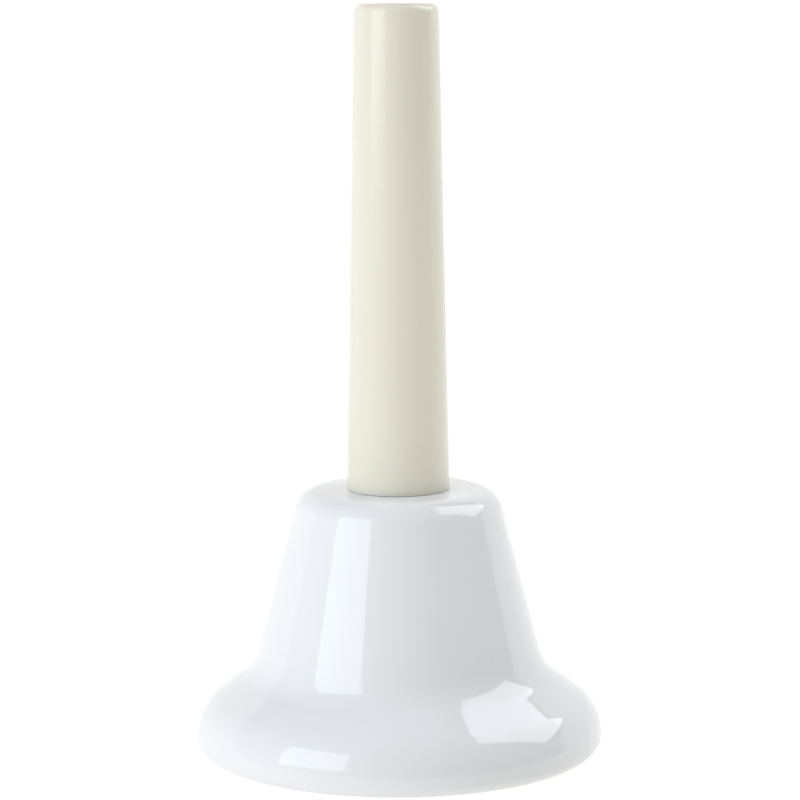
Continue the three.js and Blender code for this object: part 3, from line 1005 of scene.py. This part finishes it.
FLOOR_GLOW, WALL_GLOW = 0.85, 0.9
ROOM_DARK, ROOM_BRIGHT = (0.155, 0.115, 0.075), (0.935, 0.97, 1.0)
ROOM_SIDE = (-62, 38)  # where the room is brightest: degrees round from the viewer, and degrees up
ROOM_EDGE = 0.15  # cosine of the angle from there at which the room is wholly dark
SOFTBOXES = {
    # name: degrees round from the viewer, degrees up, distance, width, height, nod, spin, power
    "key_box": (-51.5, 27, 0.9, 0.6, 0.6, 0.3, 6, 2.85),
    "rear_box": (107, 46, 0.9, 0.6, 0.68, 1.0, 15, 4.15),
}
LAMP_COLOUR = (0.93, 0.99, 1.05)


def add_camera():
    """A long lens just above the handle's end, looking slightly down."""
    data = bpy.data.cameras.new("camera")
    data.sensor_width = 36
    data.lens = CAMERA_LENS
    data.clip_start, data.clip_end = 0.05, 30
    camera = bpy.data.objects.new("camera", data)
    bpy.context.collection.objects.link(camera)
    tilt = Matrix.Rotation(math.radians(90 - CAMERA_DIP), 4, "X")
    roll = Matrix.Rotation(math.radians(CAMERA_ROLL), 4, "Z")
    camera.matrix_world = Matrix.Translation(CAMERA_PLACE) @ tilt @ roll
    bpy.context.scene.camera = camera


def add_backdrop():
    """A sheet of lit opal acrylic that lies flat as the floor and curves up into the wall."""
    front, depth, radius, height, width = -9.0, 1.6, 0.8, 2.4, 9.0
    fade_from, steps = 0.1, 24
    section = [(front, 0.0), (depth, 0.0)]
    for i in range(1, steps + 1):
        a = math.pi / 2 * i / steps
        section.append((depth + radius * math.sin(a), radius - radius * math.cos(a)))
    section.append((depth + radius, height))
    mesh = bpy.data.meshes.new("backdrop")
    verts = [(side * width, y, z) for y, z in section for side in (-1, 1)]
    faces = [(i, i + 1, i + 3, i + 2) for i in range(0, len(verts) - 2, 2)]
    mesh.from_pydata(verts, [], faces)
    mesh.shade_smooth()
    opal = bpy.data.materials.new("lit_opal")
    opal.use_nodes = True
    tree = opal.node_tree
    shader = tree.nodes["Principled BSDF"]
    where = add(tree, "ShaderNodeTexCoord").outputs["Object"]
    behind = add(tree, "ShaderNodeSeparateXYZ", {0: where}).outputs["Y"]
    glow = add(
        tree,
        "ShaderNodeMapRange",
        {
            "Value": behind,
            "From Min": fade_from,
            "From Max": depth,
            "To Min": FLOOR_GLOW,
            "To Max": WALL_GLOW,
        },
    )
    haze = add(tree, "ShaderNodeTexNoise", {"Vector": where, "Scale": 900.0, "Detail": 2.0})
    white = blend(tree, haze.outputs["Fac"], (0.2, 0.2, 0.195, 1), (0.17, 0.17, 0.165, 1))
    tree.links.new(white, shader.inputs["Base Color"])
    tree.links.new(glow.outputs[0], shader.inputs["Emission Strength"])
    shader.inputs["Emission Color"].default_value = (1, 0.995, 0.98, 1)
    shader.inputs["Roughness"].default_value = 0.9
    mesh.materials.append(opal)
    backdrop = bpy.data.objects.new("backdrop", mesh)
    bpy.context.collection.objects.link(backdrop)


def towards(around, up):
    """The direction that many degrees round to the viewer's right, and that many up."""
    a, e = math.radians(around), math.radians(up)
    return Vector((math.sin(a) * math.cos(e), -math.cos(a) * math.cos(e), math.sin(e)))


def add_lights():
    """A soft room, a box to the left of the viewer and another higher up at the right rear."""
    aim = Vector((0, 0, (cad_low.z + cad_high.z) / 6))
    for name, (around, up, distance, width, height, nod, spin, power) in SOFTBOXES.items():
        data = bpy.data.lights.new(name, "AREA")
        data.shape = "RECTANGLE"
        data.size, data.size_y = width, height
        data.energy = power
        data.color = LAMP_COLOUR
        lamp = bpy.data.objects.new(name, data)
        bpy.context.collection.objects.link(lamp)
        away = towards(around, up)
        lamp.location = aim + away * distance
        facing = Vector((away.x, away.y, away.z * nod)).to_track_quat("Z", "Y").to_matrix()
        lamp.rotation_euler = (facing @ Matrix.Rotation(math.radians(spin), 3, "Z")).to_euler()
    world = bpy.data.worlds.new("room")
    world.use_nodes = True
    tree = world.node_tree
    direction = add(tree, "ShaderNodeTexCoord").outputs["Generated"]
    bright = towards(*ROOM_SIDE)
    facing = add(tree, "ShaderNodeVectorMath", {0: direction, 1: bright}, operation="DOT_PRODUCT")
    facing = facing.outputs["Value"]
    share = add(tree, "ShaderNodeMapRange", {"Value": facing, "From Min": ROOM_EDGE})
    shade = blend(tree, share.outputs[0], (*ROOM_DARK, 1), (*ROOM_BRIGHT, 1))
    tree.links.new(shade, tree.nodes["Background"].inputs["Color"])
    bpy.context.scene.world = world
    bpy.context.scene.view_settings.view_transform = "Standard"


add_camera()
add_backdrop()
add_lights()
cup()
handle()
clamp_stack()
folded_yoke()
axle()
springs()
clapper_eye()
clapper_rod()
clapper_head()
head_fixings()
